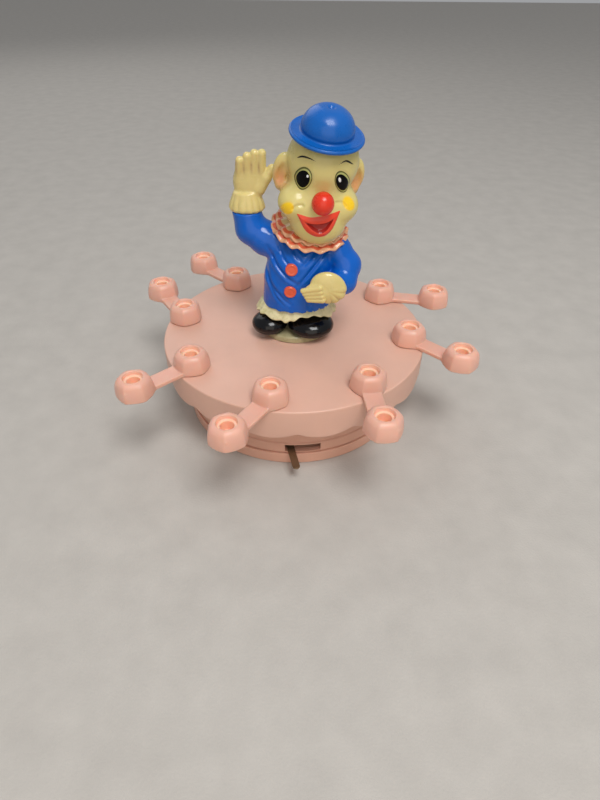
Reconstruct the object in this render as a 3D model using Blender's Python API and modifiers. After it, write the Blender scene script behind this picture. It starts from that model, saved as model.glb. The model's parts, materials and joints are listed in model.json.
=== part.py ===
"""Musical revolving candle stand: a clockwork base, a scalloped turntable with eight swivelling
candle arms, and a waving clown on top. Metres, +Z up, origin on the table under the spindle."""

import math

import bmesh
import bpy
from mathutils import Euler, Matrix, Vector

MM = 0.001
GAP = 0.3  # running or resting gap between neighbouring pieces, in mm

# Driving dimensions, in millimetres.
DISC_RADIUS = 70.0
DISC_TOP = 43.0
DISC_UNDERSIDE = 40.5
SKIRT_DEPTH = 16.3
SCALLOPS = 16
SCALLOP_RISE = 3.0
FIRST_ARM_DEG = 35.6  # azimuth of arm 1's pivot, counted from +X
ARM_COUNT = 8
PIVOT_CIRCLE = 61.6
ARM_LENGTH = 31.3
# How far each arm is swung from pointing straight outwards, in degrees.
ARM_SWINGS = (-46.6, 5.0, 12.0, -46.6, 7.0, -23.0, -29.0, -34.0)
CUP_RADIUS = 8.75
CUP_HEIGHT = 9.4
CANDLE_RADIUS = 3.1
CANDLE_DEPTH = 7.0
STRAP_WIDTH = 9.1
STRAP_THICKNESS = 2.1
PIVOT_POST_RADIUS = 2.6

ROOF_TOP = 38.3
ROOF_UNDERSIDE = 36.3
BAND_RADII = (57.8, 58.7, 59.6)
BAND_HEIGHTS = (12.5, 6.6)
BASE_INNER_RADIUS = 55.8
FLOOR_TOP = 2.0
COVER_SCREW_CIRCLE = 48.0
COVER_SCREW_DEG = (30.0, 120.0, 235.0)

SLOT_CENTRE_X = 5.1
SLOT_WIDTH = 18.0
SLOT_HEIGHTS = (7.55, 11.75)
LEVER_PIVOT = (-6.2, -35.2)
LEVER_TIP = (1.9, -70.0)
LEVER_HEEL = (-25.05, -18.5)
LEVER_HEIGHTS = (8.3, 9.1)
LEVER_HALF_WIDTH = 1.85

SHAFT_RADIUS = 2.0
BEDPLATE = (3.5, 5.0)
MOVEMENT_FLOOR = BEDPLATE[1] + GAP
BARREL_RADIUS = 14.0
BARREL_TOP = 17.4
GREAT_WHEEL = (18.0, 19.5)
GREAT_WHEEL_TEETH = 38
CYLINDER_HEIGHT = 12.3  # height of the horizontal melody-cylinder axis
CYLINDER_TEETH = 12
END_GEAR_TEETH = 24
GOVERNOR_PINION_TEETH = 8
GOVERNOR_AXIS_Y = -8.1
WORM_XY = (-22.0, -14.9)
BEDPLATE_SCREWS = ((14.0, -16.0), (14.0, 20.0), (-43.5, 19.0))
COMB_SCREWS = ((-28.0, 20.0), (-36.0, 20.0))

STAND_TOP = 46.5
STAND_CENTRE = (0.8, 0.1)
STAND_HALF = (16.6, 14.4)
FIGURE_SCREWS = ((-12.0, 1.0), (10.0, 1.0))
NECK = Vector((8.0, 3.0, 102.0))
HEAD_TILT = Euler((math.radians(12.5), math.radians(8.0), 0.0))
HEAD_YAW = math.radians(9.0)
# Each shoe: its node, centre, half width, half length.
SHOES = (("shoe_left", (-12.6, -3.6), 9.0, 9.2), ("shoe_right", (7.9, -4.6), 11.1, 11.3))
SHOE_HEIGHT = 8.0
HEM = ((17.6, 62.9), (21.0, 55.9), (20.4, 55.2))

# The collections, and the materials by name.
for leftover in list(bpy.data.objects):
    bpy.data.objects.remove(leftover, do_unlink=True)
PARTS = bpy.data.collections.new("musical_candle_stand")
CUTTERS = bpy.data.collections.new("cutters")
for group in (PARTS, CUTTERS):
    bpy.context.scene.collection.children.link(group)
CUTTERS.hide_render = True


def plastic(name, colour, roughness=0.3, metallic=0.0):
    made = bpy.data.materials.new(name)
    made.use_nodes = True
    shader = made.node_tree.nodes["Principled BSDF"]
    shader.inputs["Base Color"].default_value = (*colour, 1.0)
    shader.inputs["Roughness"].default_value = roughness
    shader.inputs["Metallic"].default_value = metallic
    return made


PINK = plastic("pink_plastic", (0.72, 0.42, 0.32), 0.38)
PALE_PINK = plastic("pale_pink_plastic", (0.80, 0.47, 0.37), 0.35)
BLUE = plastic("blue_paint", (0.01, 0.10, 0.45), 0.18)
CREAM = plastic("cream_paint", (0.75, 0.66, 0.38), 0.2)
BLACK = plastic("black_paint", (0.01, 0.01, 0.01), 0.1)
RED = plastic("red_paint", (0.75, 0.05, 0.03), 0.15)
CORAL = plastic("coral_paint", (0.80, 0.50, 0.35), 0.3)
STEEL = plastic("steel", (0.55, 0.55, 0.56), 0.35, 1.0)
BRASS = plastic("brass", (0.60, 0.42, 0.16), 0.3, 1.0)
BRONZE = plastic("bronze_strip", (0.14, 0.08, 0.04), 0.35, 0.7)
NYLON = plastic("nylon", (0.75, 0.74, 0.70), 0.5)


# Shape makers. They take millimetres and return objects.
def add(name, mesh, colour=None, at=(0, 0, 0), turn=(0, 0, 0), smooth=True):
    """An object in the part's collection, or a cutter where it has no colour."""
    made = bpy.data.objects.new(name, mesh)
    (PARTS if colour else CUTTERS).objects.link(made)
    if colour:
        if not mesh.materials:
            mesh.materials.append(colour)
        if smooth:
            mesh.shade_smooth()
            mesh.set_sharp_from_angle(angle=math.radians(35))
    else:
        made.display_type = "WIRE"
        made.hide_render = True
    made.location = Vector(at) * MM
    made.rotation_euler = turn
    return made


def mesh_of(name, shape):
    mesh = bpy.data.meshes.new(name)
    shape.to_mesh(mesh)
    shape.free()
    return mesh


def boxes(name, corners, colour=None):
    """One object with a box between each pair of corners."""
    shape = bmesh.new()
    for low, high in corners:
        for vert in bmesh.ops.create_cube(shape, size=1.0)["verts"]:
            for axis in range(3):
                middle = (low[axis] + high[axis]) / 2
                vert.co[axis] = (middle + vert.co[axis] * (high[axis] - low[axis])) * MM
    return add(name, mesh_of(name, shape), colour, smooth=False)


def box(name, low, high, colour=None):
    return boxes(name, [(low, high)], colour)


def rod(name, radius, low, high, at=(0, 0), colour=None, sides=12):
    """An upright cylinder between two heights."""
    shape = bmesh.new()
    bmesh.ops.create_cone(shape, cap_ends=True, segments=sides, radius1=radius * MM,
                          radius2=radius * MM, depth=(high - low) * MM)
    return add(name, mesh_of(name, shape), colour, (*at, (low + high) / 2))


def turned(name, profile, colour=None, steps=24, at=(0, 0, 0), turn=(0, 0, 0), squash=1.0):
    """A lathe shape: points (radius, height) that run down the outer side; a ring if off the axis."""
    count = len(profile)
    on_axis = profile[0][0] == 0
    edges = [(i, i + 1) for i in range(count - 1)] + ([] if on_axis else [(count - 1, 0)])
    mesh = bpy.data.meshes.new(name)
    mesh.from_pydata([(r * MM, 0, z * MM) for r, z in profile], edges, [])
    guide = add(name + "_profile", mesh)
    screw = guide.modifiers.new("Screw", "SCREW")
    screw.steps = screw.render_steps = steps
    screw.use_merge_vertices = True
    screw.merge_threshold = 0.00001
    lathe = frozen(guide)
    for vert in lathe.vertices:
        vert.co.y *= squash
    return add(name, lathe, colour, at, turn)


def ball(name, centre, half, colour=None, sides=16, turn=(0, 0, 0)):
    shape = bmesh.new()
    bmesh.ops.create_uvsphere(shape, u_segments=sides, v_segments=sides // 2, radius=MM)
    bmesh.ops.scale(shape, vec=half, verts=shape.verts)
    return add(name, mesh_of(name, shape), colour, centre, turn)


def plate(name, loops, low, high, colour=None):
    """A flat outline, with any holes as further loops, between two heights."""
    curve = bpy.data.curves.new(name, "CURVE")
    curve.dimensions = "2D"
    curve.fill_mode = "BOTH"
    curve.extrude = (high - low) / 2 * MM
    for loop in loops:
        spline = curve.splines.new("POLY")
        spline.points.add(len(loop) - 1)
        for point, (x, y) in zip(spline.points, loop):
            point.co = (x * MM, y * MM, 0, 1)
        spline.use_cyclic_u = True
    guide = bpy.data.objects.new(name + "_outline", curve)
    CUTTERS.objects.link(guide)
    return add(name, frozen(guide), colour, (0, 0, (low + high) / 2))


def tube(name, points, radii):
    """A limb: a tube through the points, as thick at each as its radius says."""
    curve = bpy.data.curves.new(name, "CURVE")
    curve.dimensions = "3D"
    curve.bevel_depth = MM
    curve.bevel_resolution = 2
    curve.use_fill_caps = True
    spline = curve.splines.new("POLY")
    spline.points.add(len(points) - 1)
    for point, place, radius in zip(spline.points, points, radii):
        point.co = (*(Vector(place) * MM), 1)
        point.radius = radius
    guide = bpy.data.objects.new(name + "_route", curve)
    CUTTERS.objects.link(guide)
    return add(name, frozen(guide))


def frozen(guide):
    """The mesh that a guide object's modifiers or curve make, welded; the guide is removed."""
    bpy.context.view_layer.update()
    graph = bpy.context.evaluated_depsgraph_get()
    mesh = bpy.data.meshes.new_from_object(guide.evaluated_get(graph))
    shape = bmesh.new()
    shape.from_mesh(mesh)
    bmesh.ops.remove_doubles(shape, verts=shape.verts, dist=0.000005)
    bmesh.ops.recalc_face_normals(shape, faces=shape.faces)
    shape.to_mesh(mesh)
    shape.free()
    bpy.data.objects.remove(guide, do_unlink=True)
    return mesh


def combine(target, operation, *others):
    """Adds an exact Boolean with each of the others, which become helpers."""
    for other in others:
        boolean = target.modifiers.new(other.name, "BOOLEAN")
        boolean.operation = operation
        boolean.solver = "EXACT"
        boolean.object = other
        if other.name in PARTS.objects:
            PARTS.objects.unlink(other)
            CUTTERS.objects.link(other)
        other.display_type = "WIRE"
        other.hide_render = True
    return target


def cut(target, *cutters):
    return combine(target, "DIFFERENCE", *cutters)


def join(target, *others):
    return combine(target, "UNION", *others)


# Outlines, in millimetres.
def circle(radius, centre=(0, 0), sides=12):
    return [(centre[0] + radius * math.cos(math.tau * i / sides),
             centre[1] + radius * math.sin(math.tau * i / sides)) for i in range(sides)]


def rounded_rectangle(low, high, radius, corner_points=4):
    loop = []
    corners = ((high[0], high[1], 0), (low[0], high[1], 90), (low[0], low[1], 180), (high[0], low[1], 270))
    for x, y, start in corners:
        cx = x - math.copysign(radius, x - (low[0] + high[0]) / 2)
        cy = y - math.copysign(radius, y - (low[1] + high[1]) / 2)
        for i in range(corner_points):
            angle = math.radians(start + 90 * i / (corner_points - 1))
            loop.append((cx + radius * math.cos(angle), cy + radius * math.sin(angle)))
    return loop


def gear(teeth, root, tip, first_deg=0.0, root_share=0.52, tip_share=0.26):
    """Straight-sided teeth; first_deg is the direction of one tooth."""
    loop = []
    pitch = 360 / teeth
    for i in range(teeth):
        middle = first_deg + i * pitch
        for radius, offset in ((root, -root_share), (tip, -tip_share), (tip, tip_share), (root, root_share)):
            angle = math.radians(middle + offset * pitch / 2)
            loop.append((radius * math.cos(angle), radius * math.sin(angle)))
    return loop


def bent_strip(start, bend, end, half_width, end_points=6):
    """A strip round-ended at start and end, mitred at the bend."""
    a, b, c = Vector(start), Vector(bend), Vector(end)
    first, second = (b - a).normalized(), (c - b).normalized()
    left_first, left_second = Vector((-first.y, first.x)), Vector((-second.y, second.x))
    mitre = (left_first + left_second) / (1 + left_first.dot(left_second))
    loop = []
    for centre, ahead in ((a, -first), (c, second)):
        side = Vector((ahead.y, -ahead.x))
        for i in range(end_points + 1):
            angle = math.pi * i / end_points
            point = centre + (side * math.cos(angle) + ahead * math.sin(angle)) * half_width
            loop.append(tuple(point))
        corner = b + mitre * half_width * (-1 if centre is a else 1)
        loop.append(tuple(corner))
    return loop


def around(radius, degrees):
    return radius * math.cos(math.radians(degrees)), radius * math.sin(math.radians(degrees))


# The base.
def base_shell():
    upper, middle, _ = BAND_RADII
    shell = turned("base_shell", [
        (4.3, ROOF_TOP), (upper - 1.0, ROOF_TOP), (upper, ROOF_TOP - 1.0), (upper, BAND_HEIGHTS[0] + 0.2),
        (middle, BAND_HEIGHTS[0] - 0.3), (middle, BAND_HEIGHTS[1] + GAP),
        (BASE_INNER_RADIUS, BAND_HEIGHTS[1] + GAP), (BASE_INNER_RADIUS, ROOF_UNDERSIDE),
        (4.3, ROOF_UNDERSIDE)], PINK, steps=48)
    low, high = SLOT_HEIGHTS
    cut(shell, box("lever_slot", (SLOT_CENTRE_X - SLOT_WIDTH / 2, -62, low),
                   (SLOT_CENTRE_X + SLOT_WIDTH / 2, -50, high)))
    for i, degrees in enumerate(COVER_SCREW_DEG, 1):
        place = around(COVER_SCREW_CIRCLE, degrees)
        join(shell, rod(f"shell_boss_{i}", 3.6, 5.3, ROOF_UNDERSIDE + 1.0, place))
        cut(shell, rod(f"shell_pilot_{i}", 1.5, 5.0, 17.0, place))


def bottom_cover():
    outer = BAND_RADII[2]
    ledge = BAND_HEIGHTS[1] - 0.1
    cover = turned("bottom_cover", [
        (0, FLOOR_TOP), (53.8, FLOOR_TOP), (53.8, 7.3), (55.4, 7.3), (55.4, ledge),
        (outer - 0.5, ledge), (outer, ledge - 0.5), (outer, 0.9), (outer - 0.9, 0), (0, 0)], PINK, steps=48)
    for i, degrees in enumerate(COVER_SCREW_DEG, 1):
        place = around(COVER_SCREW_CIRCLE, degrees)
        join(cover, rod(f"cover_boss_{i}", 4.6, 1.0, 5.0, place))
        cut(cover, rod(f"cover_sink_{i}", 3.1, -1.0, 3.0, place, sides=14),
            rod(f"cover_hole_{i}", 1.6, 2.0, 6.0, place, sides=10))
        turned(f"cover_screw_{i}", [(0, 15.0), (1.2, 14.4), (1.2, 2.7), (2.7, 2.7), (2.7, 1.2), (0, 0.8)],
               STEEL, steps=10, at=(*place, 0))
    for i, place in enumerate(BEDPLATE_SCREWS, 1):
        join(cover, rod(f"bed_pad_{i}", 3.0, 1.0, BEDPLATE[0] - GAP, place, sides=10))
        cut(cover, rod(f"bed_pilot_{i}", 1.3, 0.8, 4.0, place, sides=10))
    join(cover, rod("lever_boss", 2.8, 1.0, LEVER_HEIGHTS[0] - GAP, LEVER_PIVOT))
    cut(cover, rod("lever_pilot", 1.3, 3.5, 9.0, LEVER_PIVOT))


def stop_lever():
    plate("stop_lever", [bent_strip(LEVER_TIP, LEVER_PIVOT, LEVER_HEEL, LEVER_HALF_WIDTH),
                         circle(1.35, LEVER_PIVOT)], *LEVER_HEIGHTS, BRONZE)
    turned("lever_pivot_screw", [(0, 10.4), (2.0, 10.4), (2.6, 9.8), (2.6, 9.4), (1.0, 9.4), (1.0, 4.2),
                                 (0, 3.9)], STEEL, steps=12, at=(*LEVER_PIVOT, 0))


# The clockwork movement, which stands on the bottom cover.
def bedplate():
    holes = [circle(1.3, place, 10) for place in BEDPLATE_SCREWS]
    holes += [circle(1.2, (0, 0), 10), circle(1.0, WORM_XY, 10)]
    plate("movement_bedplate", [rounded_rectangle((-48, -21), (19, 26), 7), *holes], *BEDPLATE, STEEL)
    head = MOVEMENT_FLOOR
    for i, place in enumerate(BEDPLATE_SCREWS, 1):
        turned(f"bedplate_screw_{i}", [(0, head + 1.4), (1.8, head + 1.4), (2.2, head + 0.9), (2.2, head),
                                       (1.0, head), (1.0, 1.3), (0, 1.1)], STEEL, steps=10, at=(*place, 0))


def spring_barrel():
    wall, floor = BARREL_RADIUS - 0.8, MOVEMENT_FLOOR + 0.8
    turned("spring_barrel", [(wall, BARREL_TOP), (BARREL_RADIUS, BARREL_TOP),
                             (BARREL_RADIUS, MOVEMENT_FLOOR), (2.4, MOVEMENT_FLOOR), (2.4, floor),
                             (wall, floor)], BRASS, steps=36)
    turns, per_turn, inner, outer, thick = 3.0, 14, 2.8, 12.0, 0.5
    count = int(turns * per_turn)
    loop = []
    for side, steps in ((thick, range(count + 1)), (0, range(count, -1, -1))):
        for i in steps:
            radius = inner + (outer - inner) * i / count + side
            loop.append(around(radius, 360 * i / per_turn))
    plate("mainspring", [loop], MOVEMENT_FLOOR + 1.3, BARREL_TOP - 0.8, STEEL)


def drive_shaft():
    turned("drive_shaft", [(0, 35.0), (1.1, 35.0), (1.1, 40.8), (SHAFT_RADIUS, 40.8), (SHAFT_RADIUS, 5.7),
                           (0.9, 5.6), (0.9, 2.6), (0, 2.6)], STEEL, steps=14)
    turned("shaft_bush", [(SHAFT_RADIUS + GAP, ROOF_TOP), (4.0, ROOF_TOP), (4.0, ROOF_UNDERSIDE - GAP),
                          (5.5, ROOF_UNDERSIDE - GAP), (5.5, 34.6), (SHAFT_RADIUS + GAP, 34.6)],
           BRASS, steps=14)
    turned("thrust_washer", [(SHAFT_RADIUS + GAP, ROOF_TOP + 0.8), (6.0, ROOF_TOP + 0.8),
                             (6.0, ROOF_TOP + GAP), (SHAFT_RADIUS + GAP, ROOF_TOP + GAP)], NYLON, steps=14)
    turned("turntable_screw", [(0, 42.7), (2.2, 42.7), (2.9, 42.1), (2.9, 41.3), (0.8, 41.3), (0.8, 36.0),
                               (0, 35.6)], STEEL, steps=12)


def great_wheel():
    """A flat wheel with crown teeth round the underside, fixed on the drive shaft."""
    low, high = GREAT_WHEEL
    sectors = 2 * GREAT_WHEEL_TEETH
    wheel = turned("great_wheel", [(SHAFT_RADIUS + GAP, high), (17.5, high), (17.5, low), (14.6, low),
                                   (SHAFT_RADIUS + GAP, low)], BRASS, steps=sectors)
    wheel.rotation_euler.z = -math.radians(180 / sectors)
    shape = bmesh.new()
    shape.from_mesh(wheel.data)
    toothed = []
    for face in shape.faces:
        middle = face.calc_center_median() / MM
        if abs(middle.z - low) < 0.01 and 14.7 < middle.xy.length < 17.4:
            sector = int((math.degrees(math.atan2(middle.y, middle.x)) % 360) / (360 / sectors))
            if sector % 2 == 0:
                toothed.append(face)
    for face in bmesh.ops.extrude_discrete_faces(shape, faces=toothed)["faces"]:
        middle = face.calc_center_median()
        along = Vector((middle.x, middle.y, 0)).normalized()
        for vert in face.verts:
            offset = vert.co - middle
            radial = along * offset.dot(along)
            vert.co = middle + radial * 0.9 + (offset - radial) * 0.55 + Vector((0, 0, -1.3 * MM))
    shape.to_mesh(wheel.data)
    shape.free()


ALONG_MINUS_X = Matrix.Rotation(math.radians(-90), 4, "Y")


def lying(made, y):
    """Lays an upright piece down, so its height runs along -X and its own +X points up."""
    place = Matrix.Translation(Vector((0, y, CYLINDER_HEIGHT)) * MM)
    made.matrix_world = place @ ALONG_MINUS_X @ made.matrix_basis


def melody_cylinder():
    sides, rings, radius, start, end = 14, 9, 5.5, 24.2, 40.2
    heights = [end - (end - start) * i / rings for i in range(rings + 1)]
    wall = [(radius, height) for height in heights]
    cylinder = turned("melody_cylinder", [(0, end), *wall, (0, start)], BRASS, steps=sides)
    shape = bmesh.new()
    shape.from_mesh(cylinder.data)
    walls = [f for f in shape.faces if abs(f.normal.z) < 0.5]
    middles = {f: f.calc_center_median() for f in walls}
    walls.sort(key=lambda f: (round(middles[f].z, 5), round(math.atan2(middles[f].y, middles[f].x), 3)))
    pinned = [f for i, f in enumerate(walls) if (i * 7) % 9 == 0]
    bmesh.ops.inset_individual(shape, faces=pinned, thickness=0.55 * MM)
    for face in bmesh.ops.extrude_discrete_faces(shape, faces=pinned)["faces"]:
        bmesh.ops.translate(shape, verts=face.verts, vec=face.normal * 0.8 * MM)
    shape.to_mesh(cylinder.data)
    shape.free()
    lying(cylinder, 0)
    arbor = rod("cylinder_arbor", 1.0, 14.8, 45.9, sides=9)
    front = plate("cylinder_gear", [gear(CYLINDER_TEETH, 4.2, 5.6, 15.0)], 14.9, 17.0)
    back = plate("cylinder_end_gear", [gear(END_GEAR_TEETH, 5.4, 6.5, 90.0)], 41.2, 43.0)
    for piece in (arbor, front, back):
        lying(piece, 0)
    join(cylinder, arbor, front, back)


def governor():
    wheel = rod("governor_wheel", 0.8, 16.9, 45.9, sides=8, colour=STEEL)
    pinion = plate("governor_pinion", [gear(GOVERNOR_PINION_TEETH, 1.4, 2.4, -67.5)], 41.3, 42.9)
    worm_wheel = plate("worm_wheel", [gear(20, 4.1, 4.9)], 21.0, 23.0)
    for piece in (wheel, pinion, worm_wheel):
        lying(piece, GOVERNOR_AXIS_Y)
    join(wheel, pinion, worm_wheel)
    ridges = [(1.6 if i % 2 else 1.1, 15.0 - 0.55 * i) for i in range(11)]
    worm = turned("governor_worm", [(0, 22.4), (0.6, 22.2), (0.6, 20.9), (0.9, 20.9), (0.9, 15.4), *ridges,
                                    (0.9, 9.3), (2.5, 9.3), (2.5, 7.9), (0.9, 7.9), (0.9, 5.4), (0.6, 5.3),
                                    (0.6, 3.8), (0, 3.6)], STEEL, steps=12, at=(*WORM_XY, 0))
    x, y = WORM_XY
    join(worm, box("governor_fan", (x - 5.0, y - 0.35, 17.8), (x + 5.0, y + 0.35, 20.6)))
    frame = box("governor_frame", (x - 7.0, y - 2.6, MOVEMENT_FLOOR), (x - 6.0, y + 3.4, 22.1), STEEL)
    join(frame, box("governor_cock", (x - 6.5, y - 1.8, 21.0), (x + 1.8, y + 1.8, 22.0)))
    cut(frame, rod("governor_pivot_hole", 0.95, 20.0, 23.0, WORM_XY, sides=10))


def cylinder_brackets():
    for name, near, far in (("cylinder_bracket_inner", -18.5, -17.4),
                            ("cylinder_bracket_outer", -45.2, -44.1)):
        bracket = box(name, (near, -11.0, MOVEMENT_FLOOR), (far, 4.0, 15.4), STEEL)
        for tag, y, radius in (("cylinder", 0, 1.3), ("governor", GOVERNOR_AXIS_Y, 1.1)):
            hole = rod(f"{name}_{tag}_hole", radius, 16.0, 47.0, sides=10)
            lying(hole, y)
            cut(bracket, hole)


def comb():
    teeth, first_x, last_x, tips, heel, back = 18, -39.8, -24.6, 6.8, 15.0, 24.0
    pitch = (last_x - first_x) / teeth
    outline = [(first_x, tips), (last_x, tips), (last_x, back), (first_x, back)]
    made = plate("comb", [outline, *[circle(1.3, place, 10) for place in COMB_SCREWS]], 11.9, 12.7, STEEL)
    slots = []
    for i in range(1, teeth):
        middle = first_x + i * pitch
        far = heel - 2.4 * (1 - i / teeth)
        slots.append(((middle - 0.13, tips - 1.0, 11.0), (middle + 0.13, far, 13.5)))
    cut(made, boxes("comb_slots", slots))
    block = box("comb_block", (first_x, heel, MOVEMENT_FLOOR), (last_x, back, 11.6), BRASS)
    for i, place in enumerate(COMB_SCREWS, 1):
        cut(block, rod(f"comb_pilot_{i}", 1.3, 6.7, 13.0, place, sides=10))
        turned(f"comb_screw_{i}", [(0, 14.4), (1.6, 14.4), (2.0, 14.0), (2.0, 13.0), (1.0, 13.0), (1.0, 7.3),
                                   (0, 7.0)], STEEL, steps=10, at=(*place, 0))


# The turntable and its candle arms.
def turntable_disc():
    per_scallop = 5
    bottom = DISC_TOP - SKIRT_DEPTH
    outer, inner = DISC_RADIUS, DISC_RADIUS - 2.0
    disc = turned("turntable_disc", [
        (2.3, 41.0), (3.4, 41.0), (3.4, DISC_TOP), (outer - 1.0, DISC_TOP), (outer, DISC_TOP - 1.0),
        (outer, bottom), (inner, bottom), (inner, DISC_UNDERSIDE), (6.0, DISC_UNDERSIDE),
        (6.0, ROOF_TOP + 1.1), (2.3, ROOF_TOP + 1.1)], PINK, steps=SCALLOPS * per_scallop)
    for vert in disc.data.vertices:
        if abs(vert.co.z - bottom * MM) < 0.00001:
            lobe = math.degrees(math.atan2(vert.co.y, vert.co.x)) / (360 / SCALLOPS) - 0.5
            from_middle = 2 * (lobe - round(lobe))
            vert.co.z += SCALLOP_RISE * MM * from_middle ** 2
    disc.rotation_euler.z = math.radians(FIRST_ARM_DEG - 180 / SCALLOPS)
    for i in range(ARM_COUNT):
        place = around(PIVOT_CIRCLE, FIRST_ARM_DEG + 45 * i)
        cut(disc, rod(f"pivot_hole_{i + 1}", PIVOT_POST_RADIUS + GAP, 38.0, 44.0, place, sides=12))
    for i, place in enumerate(FIGURE_SCREWS, 1):
        cut(disc, rod(f"disc_hole_{i}", 1.5, 38.0, 44.0, place, sides=10))
        turned(f"figure_screw_{i}", [(0, 45.6), (1.2, 45.2), (1.2, 40.2), (2.4, 40.2), (2.4, 39.2),
                                     (0, 38.9)], STEEL, steps=10, at=(*place, 0))


def candle_cup(name, at):
    rim, ledge, mouth = 6.0, 7.4, 4.25
    floor = CUP_HEIGHT - CANDLE_DEPTH
    return turned(name, [(0, floor), (CANDLE_RADIUS, floor), (CANDLE_RADIUS, ledge), (mouth, ledge),
                         (mouth, CUP_HEIGHT), (rim, CUP_HEIGHT), (CUP_RADIUS - 1.1, 7.7), (CUP_RADIUS, 0),
                         (0, 0)], PALE_PINK, steps=12, at=at)


def candle_arms():
    """Eight identical arms: an inner cup over the pivot post, a strap and an outer cup."""
    arm = candle_cup("arm_pattern", (0, 0, 0))
    half = STRAP_WIDTH / 2
    join(arm, candle_cup("outer_cup", (ARM_LENGTH, 0, 0)),
         box("strap_near", (5.5, -half, 0.1), (ARM_LENGTH - 5.5, half, STRAP_THICKNESS)),
         rod("pivot_post", PIVOT_POST_RADIUS, -5.0, 1.5))
    bpy.context.view_layer.update()
    pattern = frozen(arm)
    for i, swing in enumerate(ARM_SWINGS):
        pivot = FIRST_ARM_DEG + 45 * i
        place = around(PIVOT_CIRCLE, pivot)
        add(f"candle_arm_{i + 1}", pattern, PALE_PINK, (*place, DISC_TOP + GAP),
            (0, 0, math.radians(pivot + swing)))
        turned(f"pivot_clip_{i + 1}", [(PIVOT_POST_RADIUS + 0.4, 40.2), (3.9, 40.2), (3.9, 39.2),
                                       (PIVOT_POST_RADIUS + 0.4, 39.2)], STEEL, steps=8, at=(*place, 0))


# The clown. Its head pieces share the neck's tilted frame.
def in_head(made):
    tilt = HEAD_TILT.to_matrix().to_4x4() @ Matrix.Rotation(HEAD_YAW, 4, "Z")
    made.matrix_world = Matrix.Translation(NECK * MM) @ tilt @ made.matrix_basis


def clown_head():
    head = turned("clown_head", [(0, 41.6), (12.0, 41.6), (14.4, 39.0), (15.6, 33.0), (15.6, 28.0),
                                 (17.4, 20.0), (16.6, 13.0), (13.0, 6.5), (8.0, 3.2), (0, 2.6)],
                  CREAM, steps=20, squash=0.88)
    ears = [ball(f"ear_{i}", (side * 17.0, 1.0, 24.0), (4.0, 2.6, 6.6), sides=12, turn=(0, side * 0.15, 0))
            for i, side in enumerate((-1, 1))]
    nose = ball("clown_nose", (0, -20.3, 22.6), (5.0, 5.0, 5.0), RED, sides=14)
    hat = turned("clown_hat", [(0, 54.2), (5.5, 53.4), (9.3, 50.4), (11.3, 46.6), (11.4, 44.4), (15.6, 43.6),
                               (16.2, 42.8), (15.4, 42.0), (0, 42.0)], BLUE, steps=24)
    ruff = turned("collar_ruff", [(0, 2.2), (17.4, 1.4), (18.6, -0.6), (17.6, -2.2), (0, -2.2)],
                  CORAL, steps=24)
    for piece in (head, *ears, nose, hat, ruff):
        in_head(piece)
    join(head, *ears)


def clown_body():
    body = turned("clown_body", [(0, 96.0), (9.0, 95.0), (14.5, 89.0), (17.0, 80.0), (16.8, 72.0),
                                 (17.2, 63.2), (0, 63.2)], BLUE, steps=20, squash=0.8)
    for vert in body.data.vertices:
        height = vert.co.z / MM
        vert.co.x += (1.5 + 4.0 * max(0.0, (height - 75) / 20)) * MM
    raised = tube("raised_sleeve", [(-4, 2, 88), (-14, 3, 91), (-21, 3.6, 95.5), (-22.8, 4.2, 99.5),
                                  (-23, 4.2, 104.7)], (8.0, 7.8, 7.4, 7.0, 6.8))
    bent = tube("bent_sleeve", [(12, 1, 90), (21, 0, 89), (26, -2, 82), (24.5, -7, 76), (20, -12, 76)],
                (6.0, 7.0, 7.2, 6.6, 5.4))
    join(body, raised, bent)


def clown_hands():
    raised = turned("raised_hand", [(0, 111.0), (5.5, 111.0), (8.2, 108.6), (8.0, 105.6), (0, 105.6)], CREAM,
                    steps=16, at=(-23.0, 4.5, 0), squash=0.8)
    palm = ball("palm", (-20.5, 5.0, 121.0), (8.6, 4.2, 12.5), sides=14, turn=(0, math.radians(10), 0))
    thumb = tube("thumb", [(-18, 4.6, 116), (-13, 4.2, 122), (-11.5, 4.2, 127.5)], (3.4, 2.8, 1.8))
    join(raised, palm, thumb)
    ball("waist_hand", (12.0, -19.2, 79.5), (9.8, 4.6, 7.0), CREAM, sides=14, turn=(0, math.radians(12), 0))


def clown_feet():
    half_x, half_y = STAND_HALF
    stand = turned("figure_stand", [(0, STAND_TOP), (half_x - 1.0, STAND_TOP), (half_x, STAND_TOP - 1.2),
                                    (half_x, DISC_TOP + GAP), (0, DISC_TOP + GAP)], CREAM, steps=28,
                   at=(*STAND_CENTRE, 0), squash=half_y / half_x)
    for i, place in enumerate(FIGURE_SCREWS, 1):
        cut(stand, rod(f"stand_pilot_{i}", 1.5, 42.0, 45.9, place, sides=10))
    sole = STAND_TOP + GAP
    for name, centre, half_x, half_y in SHOES:
        turned(name, [(0, sole + SHOE_HEIGHT), (0.5 * half_x, sole + 0.97 * SHOE_HEIGHT),
                      (0.82 * half_x, sole + 0.7 * SHOE_HEIGHT), (half_x, sole + 0.32 * SHOE_HEIGHT),
                      (0.92 * half_x, sole), (0, sole)],
               BLACK, steps=16, at=(*centre, 0), squash=half_y / half_x)
    turned("hem_frill", [(0, HEM[0][1]), *HEM, (0, HEM[-1][1])], CREAM, steps=24, at=(1.0, 1.2, 0),
           squash=0.7)


base_shell()
bottom_cover()
stop_lever()
bedplate()
spring_barrel()
drive_shaft()
great_wheel()
melody_cylinder()
governor()
cylinder_brackets()
comb()
turntable_disc()
candle_arms()
clown_feet()
clown_body()
clown_hands()
clown_head()
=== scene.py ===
"""The looks of the musical candle stand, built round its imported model. Lengths are in millimetres
in the model's own frame: +Z up, origin on the table under the spindle, the clown facing -Y."""

import json
import math

import bpy
import numpy as np
from mathutils import Euler, Matrix, Vector

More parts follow.
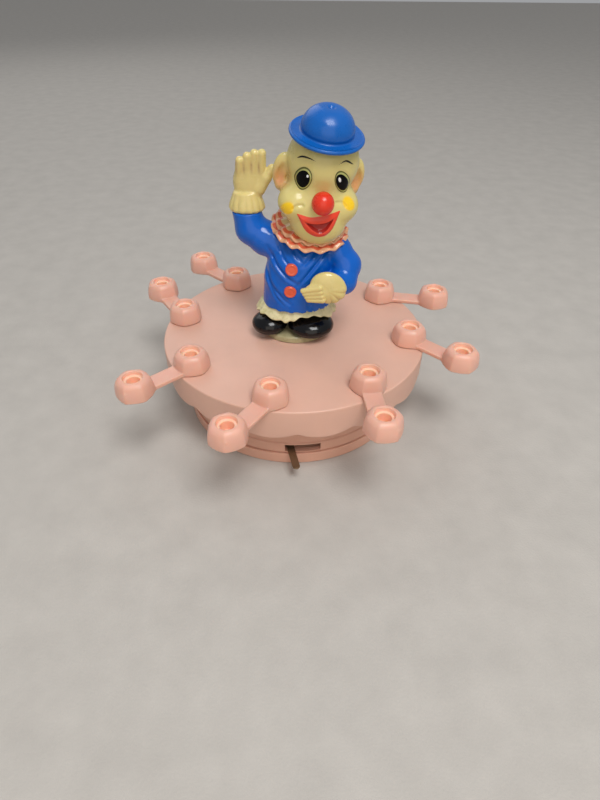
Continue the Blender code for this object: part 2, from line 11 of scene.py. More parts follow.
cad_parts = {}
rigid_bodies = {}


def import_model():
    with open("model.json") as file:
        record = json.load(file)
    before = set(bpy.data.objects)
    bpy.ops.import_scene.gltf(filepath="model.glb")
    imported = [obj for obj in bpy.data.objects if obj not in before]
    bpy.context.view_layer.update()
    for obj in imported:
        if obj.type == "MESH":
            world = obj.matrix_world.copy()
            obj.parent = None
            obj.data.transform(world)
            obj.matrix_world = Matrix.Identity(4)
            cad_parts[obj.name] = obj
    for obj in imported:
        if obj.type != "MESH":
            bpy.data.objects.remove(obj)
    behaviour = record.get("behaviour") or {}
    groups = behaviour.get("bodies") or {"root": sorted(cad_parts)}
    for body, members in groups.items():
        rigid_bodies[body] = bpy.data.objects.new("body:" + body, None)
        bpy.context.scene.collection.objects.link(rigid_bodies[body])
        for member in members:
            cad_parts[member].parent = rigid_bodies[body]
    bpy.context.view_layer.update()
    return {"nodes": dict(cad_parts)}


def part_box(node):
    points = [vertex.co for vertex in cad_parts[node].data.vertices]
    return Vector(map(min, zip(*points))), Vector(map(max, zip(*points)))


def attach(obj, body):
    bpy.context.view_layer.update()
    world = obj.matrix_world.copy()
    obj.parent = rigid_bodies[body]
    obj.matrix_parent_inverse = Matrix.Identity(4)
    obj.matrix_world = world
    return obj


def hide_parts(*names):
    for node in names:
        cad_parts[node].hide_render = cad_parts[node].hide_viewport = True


for leftover in list(bpy.data.objects):
    bpy.data.objects.remove(leftover, do_unlink=True)
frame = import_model()
MM = 0.001


def cad(node):
    """A CAD node's lowest and highest corners, in millimetres."""
    low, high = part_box(node)
    return np.array(low) / MM, np.array(high) / MM


def centre_of(node):
    """The middle of a CAD node in plan, in millimetres."""
    low, high = cad(node)
    return (low[:2] + high[:2]) / 2


# Driving dimensions, read from the frame where it has them.
DISC_LOW, DISC_HIGH = cad("turntable_disc")
DISC_RADIUS = DISC_HIGH[0]
DISC_TOP = DISC_HIGH[2]
SKIRT_BOTTOM = 26.7
SKIRT_RISE = 3.0
SCALLOPS = 16
FIRST_ARM_DEG = 35.6
ARM_SWINGS = (-46.6, 5.0, 12.0, -46.6, 7.0, -23.0, -29.0, -34.0)
PIVOT_CIRCLE = 61.6
ARM_LENGTH = 31.3
ARM_FLOOR = cad("candle_arm_1")[0][2] + 5.0
HEAD_PLACE = np.array([8.0, 3.0, 102.0])
HEAD_TURN = np.array(Euler((math.radians(12.5), math.radians(8.0), 0.0)).to_matrix()
                     @ Matrix.Rotation(math.radians(9.0), 3, "Z"))


# ---------------------------------------------------------------- materials
class Look:
    """A Principled material whose inputs are fed by procedural nodes."""

    def __init__(self, name, colour, roughness=0.3, metallic=0.0, coat=0.0, glow=0.0,
                 glow_radius=(1, 0.5, 0.3)):
        self.material = bpy.data.materials.new(name)
        self.material.use_nodes = True
        self.tree = self.material.node_tree
        self.shader = self.tree.nodes["Principled BSDF"]
        self.set("Base Color", (*colour, 1.0))
        self.set("Roughness", roughness)
        self.set("Metallic", metallic)
        self.set("Coat Weight", coat)
        self.set("Coat Roughness", 0.06)
        if glow:
            self.set("Subsurface Weight", glow)
            self.set("Subsurface Radius", glow_radius)
            self.set("Subsurface Scale", 0.004)
        self.place = self.tree.nodes.new("ShaderNodeTexCoord").outputs["Object"]
        self.colour = colour

    def set(self, socket, value):
        self.shader.inputs[socket].default_value = value

    def node(self, kind, inputs=(), **settings):
        made = self.tree.nodes.new(kind)
        for key, value in settings.items():
            setattr(made, key, value)
        for key, value in dict(inputs).items():
            if isinstance(value, bpy.types.NodeSocket):
                self.tree.links.new(value, made.inputs[key])
            else:
                made.inputs[key].default_value = value
        return made

    def feed(self, socket, value):
        self.tree.links.new(value, self.shader.inputs[socket])

    def noise(self, scale, detail=3.0, rough=0.55, stretch=(1, 1, 1)):
        """Noise from 0 to 1 with this many lumps a metre."""
        place = self.node("ShaderNodeMapping", {"Vector": self.place, "Scale": stretch}).outputs[0]
        settings = {"Vector": place, "Scale": scale, "Detail": detail, "Roughness": rough}
        return self.node("ShaderNodeTexNoise", settings).outputs["Fac"]

    def field(self, name):
        return self.node("ShaderNodeAttribute", attribute_name=name).outputs["Fac"]

    def step(self, value, edge, soft, low=1.0, high=0.0):
        """Goes from low to high as value passes edge, over a width of soft."""
        settings = {"Value": value, "From Min": edge - soft / 2, "From Max": edge + soft / 2,
                    "To Min": low, "To Max": high}
        return self.node("ShaderNodeMapRange", settings, interpolation_type="SMOOTHSTEP").outputs[0]

    def spread(self, value, low, high):
        made = self.node("ShaderNodeMapRange", {"Value": value, "From Min": 0.3, "From Max": 0.7,
                                                "To Min": low, "To Max": high})
        return made.outputs[0]

    def math(self, operation, a, b=0.0):
        return self.node("ShaderNodeMath", {0: a, 1: b}, operation=operation).outputs[0]

    def mix(self, factor, a, b):
        """Colour a where factor is 0, and b where it is 1."""
        made = self.node("ShaderNodeMix", data_type="RGBA")
        for socket, value in ((made.inputs["Factor"], factor), (made.inputs[6], a), (made.inputs[7], b)):
            if isinstance(value, bpy.types.NodeSocket):
                self.tree.links.new(value, socket)
            else:
                socket.default_value = value if isinstance(value, float) else (*value, 1.0)
        return made.outputs[2]

    def bump(self, height, strength, distance):
        """Adds a bump layer under those already there."""
        settings = {"Height": height, "Strength": strength, "Distance": distance * MM}
        made = self.node("ShaderNodeBump", settings)
        before = self.shader.inputs["Normal"].links
        if before:
            self.tree.links.new(before[0].from_socket, made.inputs["Normal"])
        self.feed("Normal", made.outputs[0])

    def tinted(self, amount, scale, base=None):
        """Slightly darker and lighter patches of the base colour."""
        base = base or self.colour
        dark = tuple(c * (1 - amount) for c in base)
        light = tuple(min(1.0, c * (1 + amount)) for c in base)
        return self.mix(self.spread(self.noise(scale, 4.0), 0.0, 1.0), dark, light)


def moulded(name, colour, roughness, glow=0.12, scratches=0.35):
    """Injection-moulded plastic: faint mottling, satin skin, handling marks and fine scratches."""
    look = Look(name, colour, roughness, glow=glow)
    look.feed("Base Color", look.tinted(0.045, 38.0))
    marks = look.noise(900.0, 2.0, 0.7, (1.0, 0.06, 0.4))
    wear_and_shade = look.step(marks, 0.66, 0.06, 0.0, scratches)
    smear = look.spread(look.noise(55.0, 5.0), roughness - 0.06, roughness + 0.08)
    look.feed("Roughness", look.math("ADD", smear, look.math("MULTIPLY", wear_and_shade, 0.22)))
    look.bump(look.noise(2600.0, 2.0), 0.10, 0.05)
    look.bump(look.noise(120.0, 2.0), 0.10, 0.25)
    look.bump(marks, 0.05, 0.04)
    return look


def painted(name, colour, roughness=0.16, coat=0.6, mottle=0.06, glow=0.0):
    """Glossy enamel on a hollow figure: brush-thick colour, orange peel, a clear wet coat."""
    look = Look(name, colour, roughness, coat=coat, glow=glow, glow_radius=(1.0, 0.6, 0.25))
    look.feed("Base Color", look.tinted(mottle, 90.0))
    look.feed("Roughness", look.spread(look.noise(160.0, 4.0), roughness - 0.04, roughness + 0.12))
    look.set("Specular IOR Level", 0.35)
    look.bump(look.noise(420.0, 2.0), 0.12, 0.10)
    look.bump(look.noise(90.0, 2.0), 0.12, 0.35)
    return look


def metal(name, colour, roughness, brushed=(1.0, 0.04, 1.0), metallic=1.0):
    """Plain metal with fine drawn lines, dull patches and a little tarnish."""
    look = Look(name, colour, roughness, metallic)
    dull = tuple(c * 0.62 for c in colour)
    look.feed("Base Color", look.mix(look.step(look.noise(230.0, 5.0), 0.6, 0.2, 0.0, 0.6), colour, dull))
    lines = look.noise(5200.0, 2.0, 0.6, brushed)
    look.feed("Roughness", look.math("ADD", look.spread(lines, roughness - 0.08, roughness + 0.1),
                                     look.spread(look.noise(300.0), 0.0, 0.08)))
    look.bump(lines, 0.12, 0.03)
    return look


PEACH = (0.705, 0.424, 0.325)
CREAM = (0.69, 0.565, 0.225)
BLUE = (0.002, 0.110, 0.520)
CORAL = (0.74, 0.105, 0.045)

disc_look = moulded("peach_plastic", PEACH, 0.42)
base_look = moulded("peach_base_plastic", (0.71, 0.385, 0.278), 0.40)
arm_look = moulded("pale_peach_plastic", (0.76, 0.430, 0.330), 0.33, glow=0.5)
# Painted glow: the bore walls and floors are coloured brighter, warmer peach for light showing through the
# thin plastic.
arm_look.feed("Base Color", arm_look.mix(arm_look.step(arm_look.field("bore"), 0.0, 0.8),
                                         arm_look.tinted(0.045, 38.0), (0.98, 0.60, 0.43)))
blue_look = painted("blue_enamel", BLUE, 0.16, 0.12)
hat_look = painted("hat_enamel", (0.0035, 0.110, 0.44), 0.24, 0.1)
cream_look = painted("cream_plastic", CREAM, 0.2, 0.4, 0.05, glow=0.18)
black_look = painted("black_enamel", (0.002, 0.002, 0.003), 0.10, 0.12)
red_look = painted("nose_enamel", (0.74, 0.036, 0.013), 0.18, 0.25)
coral_look = painted("coral_enamel", CORAL, 0.2)


def face_material():
    """The cream head with its painted features, each the inside of a signed distance on the mesh."""
    look = painted("painted_face", (0.68, 0.580, 0.220), 0.19, 0.25, 0.04, glow=0.16)
    colour = look.shader.inputs["Base Color"].links[0].from_socket
    soft = look.noise(240.0, 3.0)
    blush = look.math("MULTIPLY", look.field("ear"), look.spread(soft, 0.75, 1.0))
    colour = look.mix(blush, colour, (0.72, 0.235, 0.105))
    layers = (
        ("spot", 0.0, 1.0, (0.90, 0.58, 0.018)),
        ("eye", 0.0, 0.12, (0.100, 0.100, 0.020)),
        ("eye", -0.45, 0.3, (0.46, 0.46, 0.150)),
        ("pupil", 0.0, 0.14, (0.004, 0.004, 0.005)),
        # painted highlight in each eye
        ("painted_glint", 0.0, 0.12, (0.85, 0.87, 0.86)),
        ("brow", 0.0, 0.10, (0.012, 0.008, 0.006)),
        ("lips", 0.0, 0.14, (0.78, 0.060, 0.024)),
        ("mouth", 0.0, 0.25, (0.40, 0.020, 0.014)),
    )
    for name, edge, width, paint in layers:
        colour = look.mix(look.step(look.field(name), edge, width), colour, paint)
    look.feed("Base Color", colour)
    look.feed("Specular IOR Level", look.step(look.field("pupil"), 0.0, 0.2, 0.05, 0.35))
    look.feed("Coat Weight", look.step(look.field("pupil"), 0.0, 0.2, 0.0, 0.25))
    return look


def ruff_material():
    """Cream collar cloth with painted shade in its pleat valleys and a coral line along its edge."""
    look = painted("painted_ruff", (0.76, 0.60, 0.33), 0.22, 0.4, 0.08)
    colour = look.shader.inputs["Base Color"].links[0].from_socket
    uneven = look.math("ADD", look.field("trim"), look.spread(look.noise(500.0), -0.15, 0.15))
    # Painted shade: the pleat valleys are darkened with brown.
    colour = look.mix(look.step(look.field("pleat_shade"), 0.0, 1.6, 0.22, 0.0), colour, (0.42, 0.17, 0.05))
    colour = look.mix(look.step(look.field("edge"), 0.0, 1.5), colour, (0.80, 0.42, 0.235))
    look.feed("Base Color", look.mix(look.step(uneven, 0.0, 0.3), colour, (0.72, 0.135, 0.065)))
    return look


def frill_material(name, fresh, faded):
    """Cream paint, mottled where it has aged greenish."""
    look = painted(name, fresh, 0.25, 0.35, 0.08)
    patches = look.step(look.noise(330.0, 4.0, 0.65), 0.55, 0.2, 0.0, 0.75)
    look.feed("Base Color", look.mix(patches, fresh, faded))
    return look


def hand_material():
    """The cream hand with brown painted shade in the grooves between its fingers."""
    look = painted("painted_hand", CREAM, 0.2, 0.4, 0.05, glow=0.18)
    colour = look.shader.inputs["Base Color"].links[0].from_socket
    # Painted shade: brown in the grooves between the fingers.
    wear_and_shade = look.math("MULTIPLY", look.field("finger_groove_shade"), look.spread(look.noise(600.0), 0.4, 1.0))
    look.feed("Base Color", look.mix(wear_and_shade, colour, (0.38, 0.20, 0.09)))
    return look


hand_look = hand_material()
face_look = face_material()
ruff_look = ruff_material()
frill_look = frill_material("aged_hem", (0.75, 0.69, 0.41), (0.53, 0.50, 0.23))
stand_look = frill_material("aged_stand", (0.42, 0.37, 0.21), (0.30, 0.27, 0.13))
steel_look = metal("drawn_steel", (0.56, 0.56, 0.57), 0.32)
brass_look = metal("turned_brass", (0.62, 0.43, 0.16), 0.28, (1.0, 1.0, 0.05))
bronze_look = metal("bronzed_strip", (0.25, 0.165, 0.095), 0.36, (0.05, 1.0, 1.0), 0.7)
spring_look = metal("blued_spring", (0.20, 0.22, 0.27), 0.3)
nylon_look = moulded("natural_nylon", (0.74, 0.73, 0.69), 0.45, glow=0.2)


# ---------------------------------------------------------------- mesh tools
def piece(name, verts, faces, look, body, nodes=(), fields=None, sharp=None):
    """A mesh object in the row frame that rides a body and stands for CAD nodes."""
    mesh = bpy.data.meshes.new(name)
    mesh.from_pydata((np.asarray(verts) * MM).tolist(), [], [tuple(int(i) for i in face) for face in faces])
    mesh.materials.append(look.material)
    mesh.shade_smooth()
    if sharp:
        mesh.set_sharp_from_angle(angle=math.radians(sharp))
    for key, values in (fields or {}).items():
        mesh.attributes.new(key, "FLOAT", "POINT").data.foreach_set("value", np.asarray(values, np.float32))
    made = bpy.data.objects.new(name, mesh)
    bpy.context.scene.collection.objects.link(made)
    return settle(made, body, nodes)


def settle(made, body, nodes=()):
    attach(made, body)
    if nodes:
        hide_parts(*nodes)
    return made


def softened(points, segments=5):
    """The outline with its corners rounded: each point is (r, z) or (r, z, length cut off each side)."""
    made = []
    count = len(points)
    for i, point in enumerate(points):
        if len(point) == 2:
            made.append(point)
            continue
        here = np.array(point[:2])
        before, after = np.array(points[i - 1][:2]), np.array(points[(i + 1) % count][:2])
        start = here + (before - here) / np.linalg.norm(before - here) * point[2]
        end = here + (after - here) / np.linalg.norm(after - here) * point[2]
        for t in np.linspace(0, 1, segments + 1):
            made.append(tuple((1 - t) ** 2 * start + 2 * t * (1 - t) * here + t * t * end))
    return made


def lathe(profile, steps, shape=None):
    """Verts and faces of an outline (r, z) turned about Z. It runs down the outside; on the axis it
    closes to a point, and off the axis it is a ring. shape(r, z, angle) may move the points."""
    profile = np.array([p[:2] for p in profile], float)
    angles = math.tau * np.arange(steps) / steps
    verts, rows = [], []
    for r, z in profile:
        if r < 1e-9:
            rows.append(np.full(steps, len(verts)))
            verts.append((0.0, 0.0, z))
            continue
        rows.append(len(verts) + np.arange(steps))
        radii, heights = np.full(steps, r), np.full(steps, z)
        if shape:
            radii, heights = shape(radii, heights, angles)
        verts += list(zip(radii * np.cos(angles), radii * np.sin(angles), heights))
    if profile[0][0] > 1e-9:
        rows.append(rows[0])
    faces = []
    for above, below in zip(rows, rows[1:]):
        for i in range(steps):
            j = (i + 1) % steps
            loop = [above[i], below[i], below[j], above[j]]
            face = [v for k, v in enumerate(loop) if v != loop[k - 1]]
            if len(face) > 2:
                faces.append(face)
    return np.array(verts), faces


def spun(points):
    """A smooth outline through a few (r, z) points, by Catmull-Rom."""
    p = np.array([points[0], *points, points[-1]], float)
    made = []
    for i in range(1, len(p) - 2):
        for t in np.linspace(0, 1, 6)[:-1]:
            a, b, c, d = p[i - 1:i + 3]
            made.append(0.5 * (2 * b + (c - a) * t + (2 * a - 5 * b + 4 * c - d) * t * t
                               + (3 * b - 3 * c + d - a) * t ** 3))
    made.append(p[-1])
    return [(max(0.0, x), z) for x, z in made]


# Solids as signed distances: negative inside, in millimetres.
def turned(x=0.0, y=0.0, z=0.0):
    return np.array(Euler([math.radians(a) for a in (x, y, z)]).to_matrix())


def egg(p, centre, radii, turn=None):
    q = p - np.array(centre, float)
    if turn is not None:
        q = q @ turn
    radii = np.array(radii, float)
    k = np.linalg.norm(q / radii, axis=1)
    return k * (k - 1) / np.maximum(np.linalg.norm(q / radii ** 2, axis=1), 1e-9)


def limb(p, a, b, ra, rb):
    a, b = np.array(a, float), np.array(b, float)
    t = np.clip((p - a) @ (b - a) / ((b - a) @ (b - a)), 0, 1)
    return np.linalg.norm(p - a - t[:, None] * (b - a), axis=1) - (ra + (rb - ra) * t)


def chain(p, points, radii, k=1.0):
    made = limb(p, points[0], points[1], radii[0], radii[1])
    for i in range(1, len(points) - 1):
        made = weld(made, limb(p, points[i], points[i + 1], radii[i], radii[i + 1]), k)
    return made


def weld(a, b, k):
    h = np.clip(0.5 + 0.5 * (b - a) / k, 0, 1)
    return b * (1 - h) + a * h - k * h * (1 - h)


def carve(a, b, k):
    return -weld(-a, b, k)


def common(a, b, k):
    return -weld(-a, -b, k)


def eased(x, xs, ys):
    """Smooth values between table points, each with a level-headed slope."""
    xs, ys = np.array(xs, float), np.array(ys, float)
    slope = np.gradient(ys, xs)
    i = np.clip(np.searchsorted(xs, x) - 1, 0, len(xs) - 2)
    h = xs[i + 1] - xs[i]
    t = np.clip((x - xs[i]) / h, 0, 1)
    return ((1 + 2 * t) * (1 - t) ** 2 * ys[i] + t * (1 - t) ** 2 * h * slope[i]
            + t * t * (3 - 2 * t) * ys[i + 1] + t * t * (t - 1) * h * slope[i + 1])


def off_line(u, v, points):
    """Distance from (u, v) to a chain of straight runs, and the share of the way along it."""
    points = np.array(points, float)
    runs = np.linalg.norm(points[1:] - points[:-1], axis=1)
    best, along = np.full(len(u), 1e9), np.zeros(len(u))
    for i, length in enumerate(runs):
        a, d = points[i], (points[i + 1] - points[i]) / length
        t = np.clip((u - a[0]) * d[0] + (v - a[1]) * d[1], 0, length)
        away = np.hypot(u - a[0] - t * d[0], v - a[1] - t * d[1])
        nearer = away < best
        best[nearer] = away[nearer]
        along[nearer] = ((runs[:i].sum() + t) / runs.sum())[nearer]
    return best, along


def curved(points, steps=8):
    """A smooth chain of points through a few."""
    p = np.array([points[0], *points, points[-1]], float)
    made = []
    for i in range(1, len(p) - 2):
        a, b, c, d = p[i - 1:i + 3]
        for t in np.linspace(0, 1, steps + 1)[:-1]:
            made.append(0.5 * (2 * b + (c - a) * t + (2 * a - 5 * b + 4 * c - d) * t * t
                               + (3 * b - 3 * c + d - a) * t ** 3))
    return np.array([*made, p[-1]])


def surface(field, low, high, cell):
    """Verts and quads of where a field is zero: surface nets, then two steps onto the true surface."""
    low = np.array(low, float)
    counts = np.ceil((np.array(high) - low) / cell).astype(int) + 1
    index = np.indices(counts).reshape(3, -1).T
    values = field(low + index * cell).reshape(counts)
    inside = values < 0
    if inside.sum() != inside[1:-1, 1:-1, 1:-1].sum():
        raise ValueError("the shape reaches the edge of its grid")
    corners = [np.array(c) for c in np.ndindex(2, 2, 2)]
    size = counts - 1
    total = sum(inside[tuple(slice(c[k], c[k] + size[k]) for k in range(3))].astype(int) for c in corners)
    mixed = (total > 0) & (total < 8)
    cells = np.argwhere(mixed)
    number = np.full(size, -1)
    number[mixed] = np.arange(len(cells))
    place, hits = np.zeros((len(cells), 3)), np.zeros(len(cells))
    for a in corners:
        for b in corners:
            if (b - a).min() < 0 or (b - a).sum() != 1:
                continue
            va, vb = values[tuple((cells + a).T)], values[tuple((cells + b).T)]
            crossed = (va < 0) != (vb < 0)
            t = np.where(crossed, va / np.where(crossed, va - vb, 1.0), 0.0)
            place += crossed[:, None] * (a + t[:, None] * (b - a))
            hits += crossed
    verts = low + (cells + place / hits[:, None]) * cell
    for _ in range(2):
        value = field(verts)
        reach = 0.05
        slope = np.stack([(field(verts + reach * e) - field(verts - reach * e)) / (2 * reach)
                          for e in np.eye(3)], 1)
        move = (value / np.maximum((slope ** 2).sum(1), 0.05))[:, None] * slope
        length = np.linalg.norm(move, axis=1, keepdims=True)
        verts = verts - move * np.minimum(1, 0.35 * cell / np.maximum(length, 1e-9))
    faces = []
    for axis in range(3):
        u, v = np.eye(3, dtype=int)[[(axis + 1) % 3, (axis + 2) % 3]]
        near = np.take(inside, range(size[axis]), axis)
        far = np.take(inside, range(1, counts[axis]), axis)
        edges = np.argwhere(near != far)
        quad = np.stack([number[tuple((edges - o).T)] for o in (0 * u, u, u + v, v)], 1)
        outward = near[tuple(edges.T)]
        faces.append(np.where(outward[:, None], quad, quad[:, ::-1]))
    return verts, np.concatenate(faces)


def cut_with(made, operation, *others):
    """Applies an exact Boolean with each helper object, then removes it."""
    for other in others:
        modifier = made.modifiers.new("cut", "BOOLEAN")
        modifier.operation, modifier.solver, modifier.object = operation, "EXACT", other
    graph = bpy.context.evaluated_depsgraph_get()
    mesh = bpy.data.meshes.new_from_object(made.evaluated_get(graph))
    made.modifiers.clear()
    made.data = mesh
    for other in others:
        bpy.data.objects.remove(other, do_unlink=True)
    return made


def helper(verts, faces):
    mesh = bpy.data.meshes.new("helper")
    mesh.from_pydata((np.asarray(verts) * MM).tolist(), [], [tuple(int(i) for i in f) for f in faces])
    made = bpy.data.objects.new("helper", mesh)
    bpy.context.scene.collection.objects.link(made)
    return made


def post(radius, low, high, at=(0, 0), sides=32):
    verts, faces = lathe([(0, high), (radius, high), (radius, low), (0, low)], sides)
    return helper(verts + np.array([*at, 0.0]), faces)


def around(radius, degrees):
    return radius * math.cos(math.radians(degrees)), radius * math.sin(math.radians(degrees))


# ---------------------------------------------------------------- base
BASE_TOP = cad("base_shell")[1][2]
COVER_SCREWS = [tuple(centre_of(f"cover_screw_{i}")) for i in (1, 2, 3)]
SLOT = ((-3.9, 14.1), (7.55, 11.75))
STEPS = 192


def base_shell():
    verts, faces = lathe(softened([
        (4.3, BASE_TOP), (57.8, BASE_TOP, 1.2), (57.8, 12.9, 0.25), (58.55, 12.3, 0.35),
        (58.7, 6.9, 0.2), (55.8, 6.9), (55.8, 36.3, 0.8), (4.3, 36.3)]), STEPS)
    made = piece("base_housing", verts, faces, base_look, "base", ["base_shell"], sharp=40)
    bosses = [post(3.6, 5.3, BASE_TOP - 1.0, place) for place in COVER_SCREWS]
    cut_with(made, "UNION", *bosses)
    (left, right), (low, high) = SLOT
    outline = ((-62, low), (-62, high), (-50, high), (-50, low))
    corners = [(x, y, z) for x in (left, right) for y, z in outline]
    sides = [(i, i + 4, (i + 1) % 4 + 4, (i + 1) % 4) for i in range(4)]
    window = helper(corners, [(0, 1, 2, 3), (7, 6, 5, 4), *sides])
    pilots = [post(1.5, 5.0, 17.0, place, 20) for place in COVER_SCREWS]
    cut_with(made, "DIFFERENCE", window, *pilots)
    made.data.shade_smooth()
    made.data.set_sharp_from_angle(angle=math.radians(40))


def bottom_cover():
    verts, faces = lathe(softened([
        (0, 2.0), (53.8, 2.0), (53.8, 7.3), (55.4, 7.3), (55.4, 6.5), (59.6, 6.5, 0.5), (59.6, 0.0, 0.9),
        (50.0, 0.0), (49.6, 0.35), (46.4, 0.35), (46.0, 0.0), (0, 0.0)]), STEPS)
    made = piece("base_floor", verts, faces, base_look, "base", ["bottom_cover"], sharp=40)
    pads = [centre_of(f"bedplate_screw_{i}") for i in (1, 2, 3)]
    pivot = centre_of("lever_pivot_screw")
    cut_with(made, "UNION", *[post(4.6, 1.0, 5.0, place) for place in COVER_SCREWS],
             *[post(3.0, 1.0, 3.2, place) for place in pads], post(2.8, 1.0, 8.0, pivot))
    cut_with(made, "DIFFERENCE", *[post(3.1, -1.0, 3.0, place) for place in COVER_SCREWS],
             *[post(1.6, 2.0, 6.0, place, 24) for place in COVER_SCREWS],
             *[post(1.3, 0.8, 4.0, place, 24) for place in pads], post(1.3, 3.5, 9.0, pivot, 24))
    made.data.shade_smooth()
    made.data.set_sharp_from_angle(angle=math.radians(40))


def stop_lever():
    """A flat strip with round ends, bent in plan at its pivot hole."""
    low, high = cad("stop_lever")[0][2], cad("stop_lever")[1][2]
    tip, pivot, heel = (1.9, -70.0), (-6.2, -35.2), (-25.05, -18.5)

    def field(p):
        near = limb(p * (1, 1, 0), (*tip, 0), (*pivot, 0), 1.85, 1.85)
        far = limb(p * (1, 1, 0), (*pivot, 0), (*heel, 0), 1.85, 1.85)
        flat = np.minimum(near, far)
        flat = np.maximum(flat, 1.35 - np.hypot(p[:, 0] - pivot[0], p[:, 1] - pivot[1]))
        return common(flat, np.abs(p[:, 2] - (low + high) / 2) - (high - low) / 2, 0.12)

    verts, faces = surface(field, (-28, -73, low - 0.6), (5, -15, high + 0.6), 0.2)
    piece("stop_lever_strip", verts, faces, bronze_look, "lever", ["stop_lever"])


# ---------------------------------------------------------------- turntable
def turntable():
    inner = DISC_RADIUS - 2.0

    def scalloped(radii, heights, angles):
        lobe = np.degrees(angles) / (360 / SCALLOPS)
        s = np.abs(2 * (lobe - np.round(lobe)))
        t = np.clip((s - 0.86) / 0.14, 0, 1)
        rise = np.where(s < 0.86, s * s, 0.74 + 0.24 * t * (1 - t) ** 2 + 0.16 * t * t * (3 - 2 * t))
        share = np.clip((36.0 - heights) / (36.0 - SKIRT_BOTTOM), 0, 1)
        return radii, heights + SKIRT_RISE * rise * share

    profile = softened([
        (2.3, 41.0), (3.4, 41.0), (3.4, DISC_TOP), (DISC_RADIUS, DISC_TOP, 0.9),
        (DISC_RADIUS, SKIRT_BOTTOM, 0.5), (inner, SKIRT_BOTTOM, 0.5), (inner, 40.5, 1.2), (6.0, 40.5, 0.4),
        (6.0, 39.4), (2.3, 39.4)])
    verts, faces = lathe(profile, SCALLOPS * 28, scalloped)
    turn = math.radians(FIRST_ARM_DEG)
    c, s = math.cos(turn), math.sin(turn)
    verts = verts @ np.array([[c, s, 0], [-s, c, 0], [0, 0, 1]])
    made = piece("turntable_moulding", verts, faces, disc_look, "turntable", ["turntable_disc"])
    holes = [post(2.9, 38.0, 44.0, around(PIVOT_CIRCLE, FIRST_ARM_DEG + 45 * i)) for i in range(8)]
    screws = [(cad(f"figure_screw_{i}")[0][:2] + cad(f"figure_screw_{i}")[1][:2]) / 2 for i in (1, 2)]
    cut_with(made, "DIFFERENCE", *holes, *[post(1.5, 38.0, 44.0, place, 24) for place in screws])
    made.data.shade_smooth()
    made.data.set_sharp_from_angle(angle=math.radians(40))


def hexagon(x, y, k=0.5):
    """Distance-like size of a hexagon with one flat across +X, its corners eased by k."""
    made = None
    for i in range(6):
        a = math.tau * i / 6
        side = x * math.cos(a) + y * math.sin(a)
        made = side if made is None else -weld(-made, -side, k)
    return made


def cup(p, x):
    """A candle cup at x along the arm: six soft faces, a round shoulder, a stepped bore."""
    q = p - np.array([x, 0, 0])
    round_size = np.hypot(q[:, 0], q[:, 1])
    size = 0.45 * hexagon(q[:, 0], q[:, 1]) + 0.55 * round_size
    wall = size - eased(q[:, 2], (-1, 0, 4.0, 7.0, 9.4, 10.5), (8.6, 8.6, 8.4, 7.75, 6.9, 6.4))
    body = common(wall, q[:, 2] - 9.4, 2.5)
    body = common(body, -q[:, 2], 0.5)
    body = carve(body, np.maximum(round_size - eased(q[:, 2], (6, 7.4, 9.4, 10), (4.2, 4.25, 4.75, 5.1)),
                                  7.4 - q[:, 2]), 0.35)
    return carve(body, np.maximum(round_size - 3.1, 2.4 - q[:, 2]), 0.3)


def arm_field(p):
    both = np.minimum(cup(p, 0.0), cup(p, ARM_LENGTH))
    strap = np.maximum(np.abs(p[:, 0] - ARM_LENGTH / 2) - (ARM_LENGTH / 2 - 5.0),
                       np.maximum(np.abs(p[:, 1]) - 4.55, np.abs(p[:, 2] - 1.1) - 1.0))
    both = weld(both, strap, 0.5)
    lug = egg(p, (ARM_LENGTH + 6.6, 4.4, 5.4), (0.75, 0.75, 0.6))
    both = weld(both, lug, 0.4)
    stem = np.maximum(np.hypot(p[:, 0], p[:, 1]) - 2.6, np.maximum(p[:, 2] - 1.0, -5.0 - p[:, 2]))
    return np.minimum(both, stem)


def candle_arms():
    verts, faces = surface(arm_field, (-10, -10, -5.8), (ARM_LENGTH + 10, 10, 10.2), 0.36)
    shared = None
    for i, swing in enumerate(ARM_SWINGS):
        degrees = FIRST_ARM_DEG + 45 * i
        name = f"candle_arm_moulding_{i + 1}"
        if shared is None:
            mesh = bpy.data.meshes.new(name)
            mesh.from_pydata((verts * MM).tolist(), [], faces.tolist())
            mesh.materials.append(arm_look.material)
            # Marks the inside of each cup below its mouth, where the painted glow of light through the
            # plastic goes.
            from_cup = np.minimum(*[np.hypot(verts[:, 0] - x, verts[:, 1]) for x in (0.0, ARM_LENGTH)])
            bore = np.where(verts[:, 2] < 8.9, from_cup - 4.4, 1.0)
            mesh.attributes.new("bore", "FLOAT", "POINT").data.foreach_set("value", bore.astype(np.float32))
            mesh.shade_smooth()
            shared = mesh
        made = bpy.data.objects.new(name, shared)
        bpy.context.scene.collection.objects.link(made)
        x, y = around(PIVOT_CIRCLE, degrees)
        made.location = Vector((x, y, ARM_FLOOR)) * MM
        made.rotation_euler.z = math.radians(degrees + swing)
        settle(made, f"arm_{i + 1}", [f"candle_arm_{i + 1}"])


# ---------------------------------------------------------------- the clown's head
def to_row(local):
    return np.asarray(local) @ HEAD_TURN.T + HEAD_PLACE


def oval(u, v, centre, across, upward):
    """Signed distance to an oval spanned by two half axes, each a pair (u, v)."""
    du, dv = u - centre[0], v - centre[1]
    area = across[0] * upward[1] - across[1] * upward[0]
    a, b = (du * upward[1] - dv * upward[0]) / area, (dv * across[0] - du * across[1]) / area
    return (np.hypot(a, b) - 1) * min(np.hypot(*across), np.hypot(*upward))


def between(u, v, lower, upper):
    """Signed distance to the area between two curves that share their end points."""
    bottom, top = (eased(u, *zip(*curve)) for curve in (lower, upper))
    middle, half = (lower[0][0] + lower[-1][0]) / 2, (lower[-1][0] - lower[0][0]) / 2
    return np.maximum(np.maximum(bottom - v, v - top) * 0.8, np.abs(u - middle) - half)


